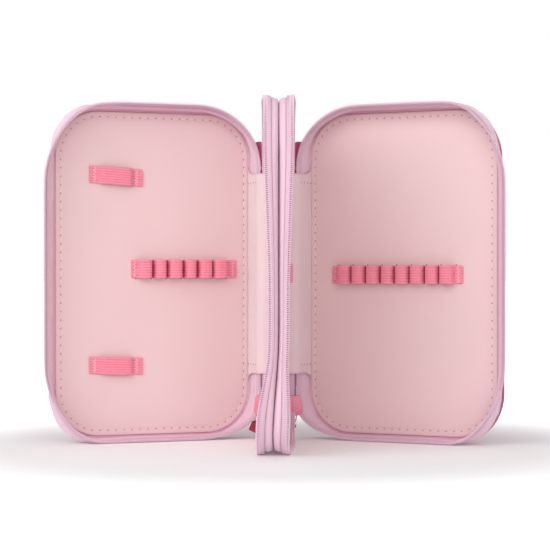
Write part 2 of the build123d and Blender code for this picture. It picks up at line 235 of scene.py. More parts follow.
class Paint:
    """The nodes of one finish, or of the world."""

    def __init__(self, name, store=None):
        self.owner = (bpy.data.materials if store is None else store).new(name)
        self.owner.use_nodes = True
        self.tree = self.owner.node_tree
        self.tree.nodes.clear()

    def node(self, kind, settings=None, sockets=()):
        """Adds any node: its settings first, then the values or links of its sockets."""
        node = self.tree.nodes.new(kind)
        for key, value in (settings or {}).items():
            setattr(node, key, value)
        for key, value in sockets.items() if isinstance(sockets, dict) else enumerate(sockets):
            socket = node.inputs[key]
            if isinstance(value, bpy.types.Node):
                value = value.outputs[0]
            elif isinstance(value, Amount):
                value = value.socket
            if isinstance(value, bpy.types.NodeSocket):
                self.tree.links.new(value, socket)
            elif socket.type == "RGBA":
                socket.default_value = (*value[:3], 1)
            else:
                socket.default_value = value
        return node

    def amount(self, kind, settings=None, sockets=(), output=0):
        return Amount(self, self.node(kind, settings, sockets).outputs[output])

    def share(self, name):
        """What the pieces of this finish were given under this name, from 0 to 1."""
        return self.amount("ShaderNodeAttribute", {"attribute_name": name}, (), "Fac")

    def place(self):
        """Where a point is on the object, as a vector."""
        return self.node("ShaderNodeTexCoord").outputs["Object"]

    def along(self, direction):
        """How far a point is in this direction, in millimetres."""
        sockets = [self.place(), tuple(1000 * part for part in direction)]
        return self.amount("ShaderNodeVectorMath", {"operation": "DOT_PRODUCT"}, sockets,
                           "Value")

    def cloth_way(self):
        """Along and across a strip of cloth, in millimetres."""
        way = self.node("ShaderNodeUVMap", {"uv_map": "cloth"})
        split = self.node("ShaderNodeSeparateXYZ", None, [way])
        return Amount(self, split.outputs[0]), Amount(self, split.outputs[1])

    def noise(self, scale, detail, stretch=(1, 1, 1)):
        """Uneven patches: scale is how many there are in a metre."""
        mapping = self.node("ShaderNodeMapping", None, {"Vector": self.place(),
                            "Scale": tuple(scale * part for part in stretch)})
        return self.amount("ShaderNodeTexNoise", None, {"Vector": mapping, "Scale": 1.0,
                           "Detail": detail, "Roughness": 0.55})

    def mix(self, first, second, factor):
        """A colour between two: Mix has its factor at 0 and its colours at 6 and 7."""
        node = self.node("ShaderNodeMix", {"data_type": "RGBA"}, {0: factor, 6: first, 7: second})
        return node.outputs[2]

    def shaded(self, colour, spread, amount):
        """A colour with lighter and darker patches of it."""
        dark = tuple(part * (1 - spread) for part in colour)
        light = tuple(min(1.0, part * (1 + spread)) for part in colour)
        return self.mix(dark, light, amount)

    def bump(self, height, distance, strength, under=None):
        sockets = {"Height": height, "Distance": distance, "Strength": strength}
        if under is not None:
            sockets["Normal"] = under
        return self.node("ShaderNodeBump", None, sockets)

    def finish(self, **sockets):
        named = {key.replace("_", " "): value for key, value in sockets.items()}
        shader = self.node("ShaderNodeBsdfPrincipled", None, named)
        self.tree.nodes.active = self.node("ShaderNodeOutputMaterial", None, [shader])
        return self.owner


def board_finish(leaf, name, colour, hem):
    """Fine smooth cloth bonded to a stiff panel."""
    paint = Paint(name)
    weave = paint.along(leaf.outward).ribs(0.62) * paint.along((0, 0, 1)).ribs(0.62)
    patches = paint.noise(28, 4)
    fleck = paint.noise(900, 2)
    base = paint.shaded(colour, 0.02, patches * 0.7 + fleck * 0.3)
    base = paint.mix(base, hem, 0.25 * patches)
    grain = paint.bump(weave + fleck * 0.6, 0.00004, 0.55)
    waves = paint.bump(paint.noise(34, 1), 0.0006, 0.35, grain)
    return paint.finish(Base_Color=base, Roughness=0.52 + 0.12 * fleck, Normal=waves,
                        Sheen_Weight=0.25, Sheen_Roughness=0.4, Specular_IOR_Level=0.35)


def strip_finish(name, colour, pitch, spread=0.07, sheen=0.45, crease=None):
    """Woven cloth that follows its strip, with painted shade where it is creased or sewn in."""
    paint = Paint(name)
    along, across = paint.cloth_way()
    weave = (along + across * 0.5).ribs(pitch) * across.ribs(pitch)
    twill = (along + across).ribs(pitch * 1.9)
    patches = paint.noise(60, 4)
    base = paint.shaded(colour, spread, patches * 0.6 + weave * 0.16 + 0.2)
    # Painted shade in the creases, where the piece was given a crease share.
    if crease is not None:
        base = paint.mix(base, crease, paint.share("crease") * (0.75 + 0.25 * patches))
    grain = paint.bump(weave * 0.6 + twill * 0.5, 0.00007, 0.8)
    rumple = paint.bump(paint.noise(110, 3), 0.0008, 0.35, grain)
    return paint.finish(Base_Color=base, Roughness=0.66 + 0.12 * patches, Normal=rumple,
                        Sheen_Weight=sheen, Sheen_Roughness=0.45, Specular_IOR_Level=0.3)


def tape_finish(name, colour, deep):
    """Zip tape: fine ribs along it, and painted shade under and between the teeth."""
    paint = Paint(name)
    along, across = paint.cloth_way()
    ribs, steps = across.ribs(0.55), along.ribs(1.18)
    herring = ((along * 2 + across.ribs(1.1)) * 2.4).sine()
    base = paint.shaded(colour, 0.08, ribs * 0.25 + steps * 0.15 + 0.5)
    # Painted shade under the teeth, where the rows were given the under share.
    base = paint.mix(base, deep, paint.share("under"))
    grain = paint.bump(ribs + steps * 0.5 + herring * 0.4, 0.00008, 0.9)
    return paint.finish(Base_Color=base, Roughness=0.62 + 0.08 * ribs, Normal=grain,
                        Sheen_Weight=0.35, Sheen_Roughness=0.45, Specular_IOR_Level=0.3)


def leather_finish(name, colour):
    """Grained leather-look cover, its colour slightly lighter on the high spots of its grain."""
    paint = Paint(name)
    cells = paint.amount("ShaderNodeTexVoronoi", {"feature": "SMOOTH_F1"},
                         {"Vector": paint.place(), "Scale": 720.0, "Smoothness": 0.6})
    pores = paint.noise(1600, 2)
    patches = paint.noise(26, 4)
    height = 1 - cells * 1.4 + pores * 0.25
    return paint.finish(Base_Color=paint.shaded(colour, 0.14, patches * 0.6 + height * 0.3),
                        Roughness=0.42 + 0.18 * patches,
                        Normal=paint.bump(height, 0.00018, 0.7), Specular_IOR_Level=0.45)


def elastic_finish(name, colour, deep):
    """Ribbed elastic, with painted shade in its grooves and where it dips between two loops."""
    paint = Paint(name)
    along, across = paint.cloth_way()
    knit = along.ribs(0.42) * across.ribs(0.5)
    patches = paint.noise(300, 3)
    base = paint.shaded(colour, 0.07, patches * 0.7 + knit * 0.15 + 0.15)
    # Painted shade: a deeper pink in the grooves between the ribs, and the valley colour where
    # the band dips between two loops.
    rib_shade_colour = tuple(part * share for part, share in zip(colour, (0.86, 0.4, 0.52)))
    base = paint.mix(base, rib_shade_colour, paint.share("groove_shade") * 0.8)
    base = paint.mix(base, deep, paint.share("dip"))
    return paint.finish(Base_Color=base, Roughness=0.6 + 0.1 * patches,
                        Normal=paint.bump(knit, 0.00006, 0.7),
                        Sheen_Weight=0.3, Sheen_Roughness=0.4, Specular_IOR_Level=0.3)


def plain_finish(name, colour, grain, spread, rough, relief, **more):
    """A finish whose colour, roughness and relief all follow one grain."""
    paint = Paint(name)
    patches = paint.noise(*grain)
    return paint.finish(Base_Color=paint.shaded(colour, spread, patches),
                        Roughness=rough[0] + rough[1] * patches,
                        Normal=paint.bump(patches, *relief), **more)


def nylon_finish(name, colour):
    """Dyed nylon monofilament."""
    return plain_finish(name, colour, (420, 3), 0.06, (0.34, 0.14), (0.00006, 0.4),
                        Specular_IOR_Level=0.5)


def thread_finish(name, colour):
    """Twisted sewing thread."""
    return plain_finish(name, colour, (1500, 2, (1, 1, 2.5)), 0.1, (0.5, 0.15), (0.0001, 0.6),
                        Sheen_Weight=0.3)


def metal_finish(name, colour, metal, roughness):
    """Cast metal, painted or bare, with faint casting marks."""
    return plain_finish(name, colour, (500, 4), 0.06, (roughness, 0.15), (0.00005, 0.4),
                        Metallic=metal, Coat_Weight=0.15 if metal == 0 else 0.0)


def matt_finish(name, colour):
    """Soft rubber, and the shade inside a needle hole."""
    paint = Paint(name)
    marks = paint.noise(700, 3)
    return paint.finish(Base_Color=paint.shaded(colour, 0.1, paint.noise(60, 2)),
                        Roughness=0.36 + 0.16 * marks,
                        Normal=paint.bump(marks, 0.00006, 0.5), Specular_IOR_Level=0.5)


# Working on the bench

def deselect():
    """Leaves edit mode and lets go of every piece."""
    if bpy.context.object is not None and bpy.context.object.mode != "OBJECT":
        bpy.ops.object.mode_set(mode="OBJECT")
    bpy.ops.object.select_all(action="DESELECT")


def pick(piece):
    deselect()
    bpy.context.view_layer.objects.active = piece
    piece.select_set(True)


@contextmanager
def edit_mode(piece):
    """Opens a piece for edits with all of it selected, and closes it afterwards."""
    pick(piece)
    bpy.ops.object.mode_set(mode="EDIT")
    bpy.ops.mesh.select_all(action="SELECT")
    yield
    bpy.ops.object.mode_set(mode="OBJECT")


def shaped(piece, kind, **settings):
    """Adds a modifier to a piece and applies it."""
    pick(piece)
    modifier = piece.modifiers.new("finish", kind)
    for key, value in settings.items():
        setattr(modifier, key, value)
    bpy.ops.object.modifier_apply(modifier=modifier.name)
    return piece


def merged(piece):
    """Joins vertices that lie on each other."""
    with edit_mode(piece):
        bpy.ops.mesh.remove_doubles(threshold=0.001)
    return piece


def closed_ends(piece):
    """Fills every open rim of a piece, so that it is a solid."""
    with edit_mode(piece):
        bpy.ops.mesh.select_mode(type="EDGE")
        bpy.ops.mesh.select_all(action="DESELECT")
        bpy.ops.mesh.select_non_manifold()
        bpy.ops.mesh.edge_face_add()
        bpy.ops.mesh.select_mode(type="VERT")
    return piece


def smoothed(piece, angle):
    pick(piece)
    bpy.ops.object.shade_smooth_by_angle(angle=radians(angle))
    return piece


def thickened(piece, thickness, angle):
    """Gives a sheet its thickness on its inner side, and smooths it."""
    return smoothed(shaped(piece, "SOLIDIFY", thickness=thickness, offset=-1), angle)


def vertices_of(piece):
    places = np.empty(len(piece.data.vertices) * 3)
    piece.data.vertices.foreach_get("co", places)
    return places.reshape(-1, 3)


def set_vertices(piece, places):
    piece.data.vertices.foreach_set("co", np.ascontiguousarray(places, float).ravel())
    piece.data.update()


def distances(line):
    """How far each place of a line is from its start, along it."""
    steps = np.linalg.norm(np.diff(line, axis=0), axis=1)
    return np.concatenate([[0], np.cumsum(steps)])


def sheet_grid(places, shares=None, unit=1):
    """A grid of cloth laid over the given places, with its own way along and across.

    The unit is how many millimetres one step of the places is."""
    columns, rows = places.shape[0] - 1, places.shape[1] - 1
    deselect()
    bpy.ops.mesh.primitive_grid_add(x_subdivisions=columns, y_subdivisions=rows, size=1,
                                    location=(0, 0, 0))
    piece = bpy.context.object
    flat = vertices_of(piece)
    column = np.rint((flat[:, 0] + 0.5) * columns).astype(int)
    row = np.rint((flat[:, 1] + 0.5) * rows).astype(int)
    set_vertices(piece, places[column, row])
    along, across = distances(places[:, rows // 2]), distances(places[0])
    corner = np.empty(len(piece.data.loops), int)
    piece.data.loops.foreach_get("vertex_index", corner)
    layer = piece.data.uv_layers[0]
    layer.name = "cloth"
    way = np.stack([along[column[corner]], across[row[corner]]], 1)
    layer.data.foreach_set("uv", (way * unit).ravel())
    for key, values in (shares or {}).items():
        share = piece.data.attributes.new(key, "FLOAT", "POINT")
        share.data.foreach_set("value", values[column, row].astype(np.float32))
    return piece


def repeated(template, turns, name):
    """Copies one small piece to many places, and joins the copies in one mesh."""
    single = vertices_of(template)
    faces = [list(face.vertices) for face in template.data.polygons]
    turned = []
    for turn in turns:
        turn = np.array(turn)
        turned.append(single @ turn[:3, :3].T + turn[:3, 3])
    joined = [[index + step * len(single) for index in face]
              for step in range(len(turns)) for face in faces]
    mesh = bpy.data.meshes.new(name)
    mesh.from_pydata(np.concatenate(turned).tolist(), [], joined)
    piece = bpy.data.objects.new(name, mesh)
    bpy.context.scene.collection.objects.link(piece)
    bpy.data.objects.remove(template)
    return piece


def small_block(size, middle, bevel, segments=1):
    """A cube primitive at its size and place, with its edges rounded."""
    deselect()
    bpy.ops.mesh.primitive_cube_add(size=1, location=middle, scale=size)
    bpy.ops.object.transform_apply(location=True, rotation=True, scale=True)
    with edit_mode(bpy.context.object):
        bpy.ops.mesh.bevel(offset=bevel, segments=segments, affect="EDGES")
    return bpy.context.object


def joined_pieces(pieces):
    pick(pieces[0])
    for piece in pieces:
        piece.select_set(True)
    bpy.ops.object.join()
    return pieces[0]


def outline_circle(outline, fill_type):
    """A circle primitive drawn out to this outline."""
    deselect()
    bpy.ops.mesh.primitive_circle_add(vertices=len(outline), fill_type=fill_type, radius=1)
    places = np.zeros((len(outline), 3))
    places[:, :2] = outline
    set_vertices(bpy.context.object, places)
    return bpy.context.object


def cut_plate(outline, thickness, bevel, segments):
    """A flat plate: a filled outline, extruded and bevelled."""
    piece = outline_circle(outline, "NGON")
    with edit_mode(piece):
        bpy.ops.mesh.extrude_region_move(TRANSFORM_OT_translate={"value": (0, 0, thickness)})
        bpy.ops.mesh.select_all(action="SELECT")
        bpy.ops.mesh.normals_make_consistent(inside=False)
    shaped(piece, "BEVEL", width=bevel, segments=segments, limit_method="ANGLE",
           angle_limit=radians(40))
    return smoothed(piece, 40)


def bent(start, corner, end, share):
    """A place on a soft bend from start to end that is drawn towards its corner."""
    return start.lerp(corner, share).lerp(corner.lerp(end, share), share)


def round_corners(corners, radius, steps):
    """The points of a closed outline with each corner rounded."""
    points = []
    for index, corner in enumerate(corners):
        here = Vector(corner)
        back = (Vector(corners[index - 1]) - here).normalized()
        ahead = (Vector(corners[(index + 1) % len(corners)]) - here).normalized()
        for step in range(steps + 1):
            place = bent(here + back * radius, here, here + ahead * radius, step / steps)
            points.append((place.x, place.y))
    return points


# The leaves and their outlines

class Leaf:
    """One side of a tier, with its hinge line and the ways it runs out and gets deeper."""

    def __init__(self, side, cover):
        name = "left" if side < 0 else "right"
        fold = joints[name + "_cover_fold"]
        angle = radians(-fold["range_deg"][0]) if cover else 0
        self.side = side
        self.cover = cover
        self.lean = cos(angle) / sin(angle) if cover else 0.0
        self.name = name if cover else "middle_" + name
        self.body = name + "_cover" if cover else "middle_leaf"
        self.face, self.rise = (board_face, -1) if cover else (lining_face, 1)
        self.outward = Vector((side * sin(angle), -cos(angle), 0))
        self.away = Vector((side * cos(angle), sin(angle), 0))
        low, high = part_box(name + "_shell")
        self.hinge = Vector((fold["pos_m"][0], fold["pos_m"][1], (low.z + high.z) / 2))

    def matrix(self):
        """From millimetres along, up and away on the bench to the place in the case."""
        turn = Matrix((self.outward, (0, 0, 1), self.away)).transposed()
        return Matrix.Translation(self.hinge) @ (turn * 0.001).to_4x4()

    def point(self, along, up, depth):
        return self.matrix() @ Vector((along, up, depth))

    def settle(self, places):
        """How the soft middle leaf stands: drawn in at its front, leaning at its foot."""
        if self.cover:
            return places
        settled = np.array(places, float)
        along, up, depth = settled[..., 0], settled[..., 1], settled[..., 2]
        front = smooth((along - 40) / 85)
        drawn = np.where(up > -15, 1 - smooth((up + 15) / 95), 1 - smooth((-42 - up) / 42))
        high = smooth((up + 40) / 80)
        band = 1 - front * (drawn * 0.34 + (1 - drawn) * (0.08 + 0.1 * high))
        roll = 1 - front * (drawn * 0.52 + (1 - drawn) * (0.08 + 0.09 * high))
        inner = -leaf_half + (depth + leaf_half) * roll
        outer = -leaf_half + (leaf_half - band_depth) * roll + (depth + band_depth) * band
        settled[..., 2] = np.where(depth > -band_depth, outer, inner)
        lean = mm(sizes().foot_lean) * smooth((-30 - up) / 65) * front
        settled[..., 2] -= self.side * lean
        settled[..., 1] -= mm(sizes().head_sag) * smooth((up - 25) / 70) * front
        return settled

    def placed(self, piece, settle=True):
        """Puts a piece made on the bench in its place on the leaf."""
        if settle:
            set_vertices(piece, self.settle(vertices_of(piece)))
        matrix = self.matrix()
        piece.data.transform(matrix)
        if matrix.determinant() < 0:
            piece.data.flip_normals()
        piece.data.update()
        return piece


class Outline:
    """Closed outline of a leaf: four straight sides joined by soft corners."""

    def __init__(self, inner, outer, half, low, high, front):
        head, foot = half, -half
        corners = [
            [(inner, head - high[1]), (0, high[1]), (high[0], 0), (inner + high[0], head)],
            [(outer - front[0], head), (front[0], 0), (0, -front[1]), (outer, head - front[1])],
            [(outer, foot + front[1]), (0, -front[1]), (-front[0], 0), (outer - front[0], foot)],
            [(inner + low[0], foot), (-low[0], 0), (0, low[1]), (inner, foot + low[1])],
        ]
        self.sides = []
        for index, corner in enumerate(corners):
            self.sides += [[corners[index - 1][-1], corner[0]], corner]

    def point(self, turn):
        """The place a share of the way round: one for each side and corner, from the foot."""
        turn = turn % 8
        side = self.sides[int(turn)]
        share = turn - int(turn)
        start, end = np.array(side[0], float), np.array(side[-1], float)
        if len(side) == 2:
            return start + (end - start) * share
        first = start + corner_fullness * np.array(side[1], float)
        second = end - corner_fullness * np.array(side[2], float)
        rest = 1 - share
        return (rest ** 3 * start + 3 * rest * rest * share * first
                + 3 * rest * share * share * second + share ** 3 * end)

    def points(self, turns):
        return np.array([self.point(turn) for turn in turns])

    def outwards(self, turns):
        """The way out of the outline at each place."""
        way = self.points(np.array(turns) + 0.004) - self.points(np.array(turns) - 0.004)
        way /= np.linalg.norm(way, axis=1)[:, None]
        return np.stack([-way[:, 1], way[:, 0]], 1)

    def even(self, pitch, start=0.0, end=8.0, inset=0.0):
        """Places at an even pitch along the outline between two shares of the way round."""
        fine = np.linspace(start, end, 2400)
        way = distances(self.points(fine) - self.outwards(fine) * inset)
        count = max(2, int(round(way[-1] / pitch)))
        return np.interp(np.linspace(0, way[-1], count + 1), way, fine)


def even_corners(inner, outer, half, radius):
    corner = (radius, radius)
    return Outline(inner, outer, half, corner, corner, corner)


board_outline = even_corners(2.2, 125.5, board_half, 27)
shell_outline = even_corners(0, shell_reach, shell_half, 29.5)
seam_outline = even_corners(0, shell_reach, board_half, 29.5)
lining_outline = even_corners(2.5, 125.5, 95.0, 27)
zip_outline = Outline(0, zip_reach, case_half, (42, 21), (42, 36), (37, 46))

# Where along the zip line the coil starts at the top of the hinge and ends at the slider, and
# the same for its tape, as shares of the way round
coil_start = 1.0
coil_end = 7.86
cover_coil_end = 7.8
tape_start = 0.028
tape_end = 7.9

left_cover = Leaf(-1, True)
right_cover = Leaf(1, True)
middle_left = Leaf(-1, False)
middle_right = Leaf(1, False)
covers = (left_cover, right_cover)
middles = (middle_left, middle_right)


def middle_beside(cover):
    """The side of the middle leaf that this cover closes onto."""
    return middle_left if cover.side < 0 else middle_right


def between(first, second, turns, profile):
    """Places between two outlines: rows of share from first to second, inset and depth."""
    near, far = first.points(turns), second.points(turns)
    out_near, out_far = first.outwards(turns), second.outwards(turns)
    rows = []
    for row in profile:
        share, inset, depth = (np.reshape(value, (-1, 1)) for value in row)
        out = out_near * (1 - share) + out_far * share
        flat = near * (1 - share) + far * share - out * inset
        rows.append(np.concatenate([flat, np.broadcast_to(depth, (len(turns), 1))], 1))
    return np.stack(rows, 1)


def ring(outline, turns, profile):
    """Places round an outline: one row for each inset and depth of the profile."""
    return between(outline, outline, turns, [(0, inset, depth) for inset, depth in profile])


def filled_in(places):
    """Carries both faces of a panel on towards its middle line."""
    faces = []
    for rim in (places[:, 0], places[:, -1]):
        middle = rim.copy()
        middle[:, 0] = (places[..., 0].min() + places[..., 0].max()) / 2
        middle[:, 1] = np.clip(rim[:, 1], -inner_half, inner_half)
        faces.append([rim + (middle - rim) * share for share in inner_shares])
    return np.concatenate([np.stack(faces[0][::-1], 1), places, np.stack(faces[1], 1)], 1)


def clear_of_spine(turns):
    """0 along the spine, where the walls lie flat, and 1 on the rest of the way round."""
    return smooth((zip_outline.points(turns)[:, 0] - 0.3) / 9)


def along_front(turns):
    """1 on the straight front side of a leaf, easing to 0 over its corners."""
    return smooth(turns - 3) * (1 - smooth(turns - 5))


def at_front_corners(turns):
    """1 in the middle of each front corner, easing to 0 at its ends."""
    upper = np.clip(turns - 2.9, 0, 1.2) / 1.2
    lower = np.clip(turns - 4.9, 0, 1.2) / 1.2
    return np.sin(pi * upper) ** 2 + np.sin(pi * lower) ** 2


def shell_inset(leaf, turns):
    """How far a shell's edge is drawn in round its upper front corner."""
    most = 1.4 if leaf.side < 0 else 2.4
    return most * np.sin(pi * np.clip((turns - 2.75) / 1.75, 0, 1)) ** 2


def zip_inset(leaf, turns, depth):
    """How far a cover's opened zip is drawn in or flares out at this depth.

    Its lip folds in over the front corners, and the front side leans. It flares out along
    the top, and is drawn in above the floor along the foot."""
    if not leaf.cover:
        return np.zeros(len(turns))
    top = smooth((turns - 1.1) / 0.7) * (1 - smooth((turns - 2.7) / 0.6))
    foot = smooth((turns - 5.7) / 0.6) * (1 - smooth((turns - 6.9) / 0.7))
    lip = max(0.0, 1 - depth / 3)
    lean = (leaf.lean + 0.38) * along_front(turns) * depth
    fold = at_front_corners(turns) * ((0.7 if leaf.side < 0 else 1.4) + 1.5 * lip)
    flare = mm(sizes().lip_flare) * (1.1 if leaf.side < 0 else 0.75)
    return fold + lean - flare * top * lip + (foot * 1.8 + top * 0.9) * (1 - lip)


# Sewing

def dressed(piece, name, finish, body, nodes=()):
    """Gives a finished piece its name, finish and body, and hides the CAD nodes it stands for."""
    piece.name = name
    piece.data.name = name
    piece.data.materials.append(finish)
    if body:
        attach(piece, body)
    if nodes:
        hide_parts(*nodes)
    return piece


def panel(leaf, places, name, finish, node, angle=60):
    """A stiff panel: the given rows round its edge, and its two faces filled."""
    piece = smoothed(closed_ends(merged(sheet_grid(places))), angle)
    return dressed(leaf.placed(piece), name, finish, leaf.body, [node])


def laid(way, along, up, depth):
    """A place on a leaf's face, turned so that its length follows this way."""
    return Matrix(((way[0], -way[1], 0, along), (way[1], way[0], 0, up),
                   (0, 0, 1, depth), (0, 0, 0, 1)))


def stitches(leaf, places, shape, name, finish):
    """Rounded bits of thread: the shape is half their length, width and height."""
    deselect()
    bpy.ops.mesh.primitive_ico_sphere_add(subdivisions=2, radius=1, scale=shape)
    bpy.ops.object.transform_apply(location=False, rotation=False, scale=True)
    row = smoothed(repeated(bpy.context.object, places, name), 180)
    dressed(leaf.placed(row), name, finish, leaf.body)


def needle_holes(leaf, places, radius, height, name, finish):
    # Dark discs of painted shade, one in each needle hole.
    deselect()
    bpy.ops.mesh.primitive_cylinder_add(vertices=8, radius=radius, depth=height)
    dots = repeated(bpy.context.object, places, name)
    dressed(leaf.placed(dots), name, finish, leaf.body)


def thread_row(leaf, outline, inset, depth, name, thread, hole, up):
    """A row of stitches round a panel: thread lying on it, and dark discs of painted shade for
    the needle holes between.

    Each stitch is a little longer, thicker or more slanted than the next, as by hand."""
    turns = outline.even(mm(sizes().stitch_pitch), inset=inset)
    line = outline.points(turns) - outline.outwards(turns) * inset
    hand = np.random.RandomState(11)
    threads, holes = [], []
    for start, end in zip(line[:-1], line[1:]):
        way = (end - start) / np.linalg.norm(end - start)
        tight = Matrix.Diagonal((hand.uniform(0.88, 1.04), hand.uniform(0.9, 1.2), 1, 1))
        slant = Matrix.Rotation(radians(hand.uniform(-3.5, 3.5)), 4, "Z")
        threads.append(laid(way, *(start + end) / 2, depth) @ slant @ tight)
        holes.append(Matrix.Translation((start[0], start[1], depth + up * 0.06)))
    stitches(leaf, threads, (1.75, 0.24, 0.2), name + "_stitches", thread)
    needle_holes(leaf, holes, 0.36, 0.16, name + "_needle_holes", hole)


class MakeLiningBoards(bpy.types.Operator):
    """Makes the stitched lining board of each cover and the two linings of the divider"""

    bl_idname = "pencil_case.lining_boards"
    bl_label = "Lining boards"

    def execute(self, context):
        ink_of = colours()
        thread = thread_finish("lining_thread", ink_of.thread)
        hole = matt_finish("needle_hole", ink_of.needle_hole)
        inset = mm(sizes().stitch_inset)
        turns = board_outline.even(1.9)
        edge = [(0, cover_depth), (0, 16.95), (0.12, 16.6), (0.42, 16.32), (1.1, 16.16),
                (2.1, 16.14), (2.9, 16.26), (inset, 16.38), (3.8, 16.27), (4.9, 16.18),
                (7.5, 16.2), (11, 16.25)]
        board = (board_outline, ring(board_outline, turns, edge), "_board_cloth", "_lining",
                 "_lining_board", "_board", 16.28)
        turns = lining_outline.even(2.4)
        edge = [(9, lining_face), (5, lining_face + 0.05), (inset, lining_face - 0.12),
                (2, lining_face + 0.08), (0.8, lining_face), (0.2, lining_face - 0.25),
                (0, -9.45)]
        lining = (lining_outline, filled_in(ring(lining_outline, turns, edge)), "_lining_cloth",
                  "_panel", "_lining", "_panel", lining_face + 0.02)
        for leaf in (*covers, *middles):
            outline, places, cloth, ending, node, row, depth = board if leaf.cover else lining
            cloth = board_finish(leaf, leaf.name + cloth, ink_of.board, ink_of.board_hem)
            panel(leaf, places, leaf.name + ending, cloth, leaf.name + node)
            thread_row(leaf, outline, inset, depth, leaf.name + row, thread, hole,
                       leaf.rise)
        return {"FINISHED"}


class MakeSoftWalls(bpy.types.Operator):
    """Sews the soft wall between each panel's edge and its zip"""

    bl_idname = "pencil_case.soft_walls"
    bl_label = "Soft walls"

    def execute(self, context):
        cloth = strip_finish("wall_cloth", colours().wall, 0.7, crease=colours().crease)
        thickness = mm(sizes().wall_thickness)
        turns = zip_outline.even(1.5)
        clear = clear_of_spine(turns)
        edge = shell_outline.points(turns)
        hem = np.maximum(smooth((edge[:, 0] - 0.3) / 4), smooth((np.abs(edge[:, 1]) - 64) / 3))
        # Painted shade along the wall's sewn edges, at the shell and at the zip, less along the
        # spine.
        creases = np.array([[0.8, 0.6, 0.3, 0.08, 0, 0, 0, 0, 0, 0, 0.06, 0.15, 0.4, 0.5]])
        creases = creases * (0.2 + 0.8 * clear[:, None])
        bulge = mm(sizes().wall_bulge) * (1 - 0.8 * along_front(turns))
        for leaf in covers:
            drawn = shell_inset(leaf, turns)
            puff = at_front_corners(turns) * (2.8 if leaf.side < 0 else 2.0)
            rows = [(0, 1.6 + 0.75 * hem, 17.34), (0, 0.9 + 0.4 * hem + 0.6 * drawn, 17.4),
                    (0, 0.25 + 0.1 * hem + drawn, 17.25)]
            for step in range(1, 11):
                share = step / 10
                swell = sin(pi * min(1, share * 1.08)) * clear * (bulge + puff)
                moved = drawn * (1 - share) + zip_inset(leaf, turns, 6.0) * share
                rows.append((share, 0.05 - swell + moved + 0.35 * share ** 6,
                             17.1 - share * 11.1))
            rows.append((1, 0.8 + zip_inset(leaf, turns, 5.6), 5.6))
            places = between(shell_outline, zip_outline, turns, rows)
            places = self.rumpled(places, leaf.side, 0.22, clear)
            wall = self.sewn(leaf, places, creases, thickness, cloth)
        # Painted shade along both sewn edges of the middle leaf's walls.
        creases = np.array([[1.0, 1.0, 0.7, 0.3, 0.1, 0, 0, 0, 0, 0, 0.2, 0.5, 0.85, 1.0]])
        creases = np.repeat(creases, len(turns), 0)
        rows = [(0, 1.7, -4.6), (0, 1.95, -5.15), (0, 1.5, -5.5)]
        for step in range(1, 11):
            turn = pi / 2 * step / 10
            share = 1 - cos(turn)
            rows.append((share * clear + (1 - clear) * share * 0.93,
                         1.35 * (1 - share) + 0.1, -5.5 - 4.55 * sin(turn)))
        rows.append((1, 0.3 + 0.8 * clear, -10.12))
        for leaf in middles:
            places = between(zip_outline, seam_outline, turns, rows)
            places = self.rumpled(places, leaf.side + 3, 0.16, clear)
            wall = self.sewn(leaf, places, creases, thickness * 0.8, cloth)
        return {"FINISHED"}

    def rumpled(self, places, seed, amount, clear):
        """Adds the small uneven waves of a wall that is drawn round its corners."""
        count, rows = places.shape[0], places.shape[1]
        way = np.arange(count)[:, None] / (count - 1) * 2 * pi
        across = np.arange(rows)[None, :] / (rows - 1)
        wave = (np.sin(way * 23 + seed) + 0.7 * np.sin(way * 41 + 2.1 * seed + across * 3)
                + 0.5 * np.sin(way * 67 + seed * 1.3 - across * 4))
        shift = wave * np.sin(across * pi) * clear[:, None] * amount * 0.6
        way_out = places[..., :2] - np.array([shell_reach / 2, 0.0])
        way_out /= np.linalg.norm(way_out, axis=2)[..., None]
        changed = places.copy()
        changed[..., :2] += way_out * shift[..., None]
        changed[..., 1] = np.clip(changed[..., 1], -case_half, case_half)
        return changed

    def sewn(self, leaf, places, creases, thickness, cloth):
        wall = merged(sheet_grid(places, {"crease": creases}))
        return dressed(leaf.placed(thickened(wall, thickness, 70)), leaf.name + "_soft_wall",
                       cloth, leaf.body, [leaf.name + "_gusset"])


class MakeZipTapes(bpy.types.Operator):
    """Weaves the tape that carries each row of teeth"""

    bl_idname = "pencil_case.zip_tapes"
    bl_label = "Zip tapes"

    def execute(self, context):
        cloth = tape_finish("tape_weave", colours().tape, colours().tape_deep)
        turns = zip_outline.even(1.5, tape_start, tape_end)
        clear = clear_of_spine(turns)
        edge = 0.42 + 0.33 * clear
        for leaf in covers:
            rows = [(0.6, 6.7), (0.42, 6.1), (0.36, 5.2), (0.36, 4.2), (0.38, 3.2), (0.4, 2.7),
                    (0.42, 2.2), (0.45, 1.2)]
            rows = [(inset + zip_inset(leaf, turns, depth), depth) for inset, depth in rows]
            rows.append((0.48 + zip_inset(leaf, turns, 0.75), edge))
            self.woven(leaf, turns, rows, slice(5, 9), clear, cloth)
        rows = [(0.48, -edge), (0.45, -1.2), (0.4, -2.2), (0.36, -2.7), (0.32, -3.2),
                (0.3, -4.2), (0.5, -4.9), (0.95, -5.3)]
        for leaf in middles:
            self.woven(leaf, turns, rows, slice(0, 3), clear, cloth)
        return {"FINISHED"}

    def woven(self, leaf, turns, rows, toothed, clear, cloth):
        """One tape, with painted shade in the rows under its teeth."""
        under = np.zeros((len(turns), len(rows)))
        under[:, toothed] = clear[:, None]
        tape = sheet_grid(ring(zip_outline, turns, rows), {"under": under})
        tape = leaf.placed(thickened(tape, mm(sizes().tape_thickness), 60))
        dressed(tape, leaf.name + "_tape", cloth, leaf.body,
                [leaf.name + "_zip_tape"])


